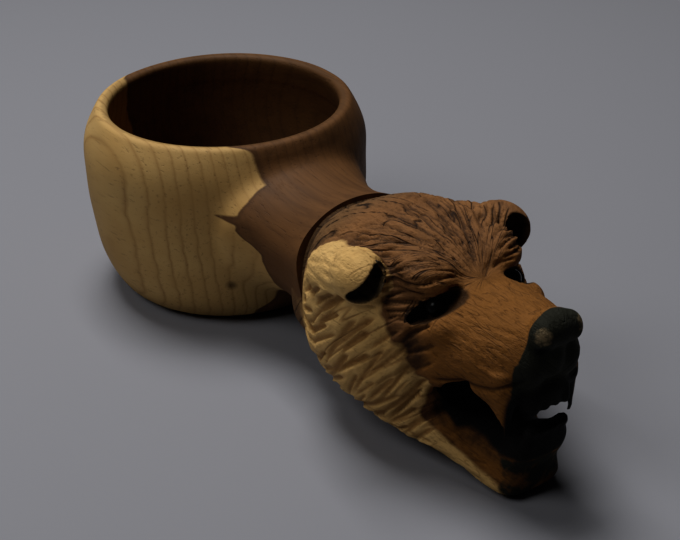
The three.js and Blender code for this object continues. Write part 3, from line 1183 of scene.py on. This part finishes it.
def recessShadeOf(places):
    # painted shade under the eyes, in the corners of the mouth and on the lower gums
    x, y, z = places.T
    recessShade = np.zeros(len(places))
    for side in (-1, 1):
        under = nearPlace(places, [backOf(34), side * 17.5, 34], [5, 5, 9])
        recessShade = np.maximum(recessShade, 1 - smoothStep(0.5, 1.1, under))
    corner = nearPlace(places, [backOf(26.5), 0, 27], [4, 17, 4])
    recessShade = np.maximum(recessShade, (1 - smoothStep(0.7, 1.2, corner)) * 0.8)
    gum = smoothStep(10, 13, z) * (1 - smoothStep(20, 22, z)) * smoothStep(116, 122, x)
    return np.maximum(recessShade, gum * (1 - smoothStep(12.5, 14.5, np.abs(y))))


def wearAndHighlightOf(places):
    # rubbed spots on the wings of the nose, lightened partly as wear and partly as a painted
    # highlight
    wearAndHighlight = np.zeros(len(places))
    for side in (-1, 1):
        far = nearPlace(places, [backOf(2.2), side * 5.4, 50.0], 1)
        wearAndHighlight = np.maximum(wearAndHighlight, 1 - smoothStep(0.8, 4.0, far))
    return wearAndHighlight


def markHead(piece):
    # where the carver stained the head, where its wood turns gold or grey, and where painted shade
    # and a painted highlight go
    places = points(piece)
    back = noseTip - places[:, 0]
    onDark = 1 - smoothStep(-1.5, 1.0, headSapwood(places))
    keepValue(piece, "stain", stainOf(places))
    keepValue(piece, "wearAndHighlight", wearAndHighlightOf(places))
    keepValue(piece, "hollowShade", hollowShadeOf(places))
    keepValue(piece, "recessShade", recessShadeOf(places))
    keepValue(piece, "gold", (1 - smoothStep(26, 38, back)) * onDark)
    keepValue(piece, "grey", smoothStep(62, 76, back) * onDark)


bowl = makeCup()
markCup(bowl)
print("cup and neck made,", len(bowl.data.vertices), "vertices")

bearHead = makeHead()
print("head block made,", len(bearHead.data.vertices), "vertices")
markHead(bearHead)
combHead(bearHead)
carveHead(bearHead)
keepValue(bearHead, "sapwood", headSapwood(points(bearHead)))

walnut = walnutGroup()
bowl.data.materials.append(cupMaterial(walnut))
bearHead.data.materials.append(headMaterial(walnut, furGroup()))
pick(bearHead)
bpy.ops.object.shade_smooth()
pick(bowl)
bpy.ops.object.shade_smooth_by_angle(angle=math.radians(cup["sharpAngle"]))
print("walnut on the cup and the head")

beadFinish = beadMaterial()
for node in ("right_eye", "left_eye"):
    low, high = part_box(node)
    radius = (high.x - low.x) / 2 / mm
    eye = ball((low + high) / 2 / mm, [radius] * 3, segments=bead["segments"])
    eye.name = node + "_bead"
    eye.data.materials.append(beadFinish)
    bpy.ops.object.shade_smooth()
    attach(eye, "root")
    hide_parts(node)
print("eyes set")

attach(bowl, "root")
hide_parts("kuksa_bowl")
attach(bearHead, "root")
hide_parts("bear_head")

studio = dict(
    lens=74.1,
    cameraPlace=(0.3469, -0.1928, 0.2149),
    turn=56.0,
    down=28.74,
    roll=-1.01,
    sky=(0.5, 0.5, 0.52),
    skyStrength=0.03,
    keyPlace=(-0.22, 0.00, 0.87),
    keyAim=(0.05, 0, 0),
    keyPower=13.0,
    fillPlace=(0.02, -0.60, 0.72),
    fillAim=(0.10, 0, 0),
    fillPower=3.6,
    lampSize=0.40,
    floorTone=(0.245, 0.245, 0.265),
    exposure=-1.1,
)

cleanStart()
bpy.ops.mesh.primitive_plane_add(size=6, location=(0, 0, 0))
floor = bpy.context.object
floor.name = "studio_floor"
floor.data.materials.append(floorMaterial())

bpy.ops.object.camera_add(location=studio["cameraPlace"])
camera = bpy.context.object
camera.data.lens = studio["lens"]
camera.data.sensor_width = 36
camera.data.clip_start = 0.01
aim = Matrix.Rotation(math.radians(studio["turn"]), 4, "Z")
aim = aim @ Matrix.Rotation(math.radians(90 - studio["down"]), 4, "X")
aim = aim @ Matrix.Rotation(math.radians(studio["roll"]), 4, "Z")
camera.rotation_euler = aim.to_euler()
bpy.context.scene.camera = camera

world = bpy.data.worlds.new("studio sky")
world.use_nodes = True
sky = world.node_tree.nodes["Background"]
sky.inputs["Color"].default_value = (*studio["sky"], 1)
sky.inputs["Strength"].default_value = studio["skyStrength"]
bpy.context.scene.world = world


def softBox(name):
    place = Vector(studio[name + "Place"])
    bpy.ops.object.light_add(type="AREA", location=place)
    lamp = bpy.context.object
    lamp.name = name
    lamp.data.shape = "RECTANGLE"
    lamp.data.size = studio["lampSize"]
    lamp.data.size_y = studio["lampSize"]
    lamp.data.energy = studio[name + "Power"]
    toAim = Vector(studio[name + "Aim"]) - place
    lamp.rotation_euler = toAim.to_track_quat("-Z", "Y").to_euler()


softBox("key")
softBox("fill")
grading = bpy.context.scene.view_settings
grading.view_transform = "Standard"
grading.look = "Medium High Contrast"
grading.exposure = studio["exposure"]
print("studio ready")
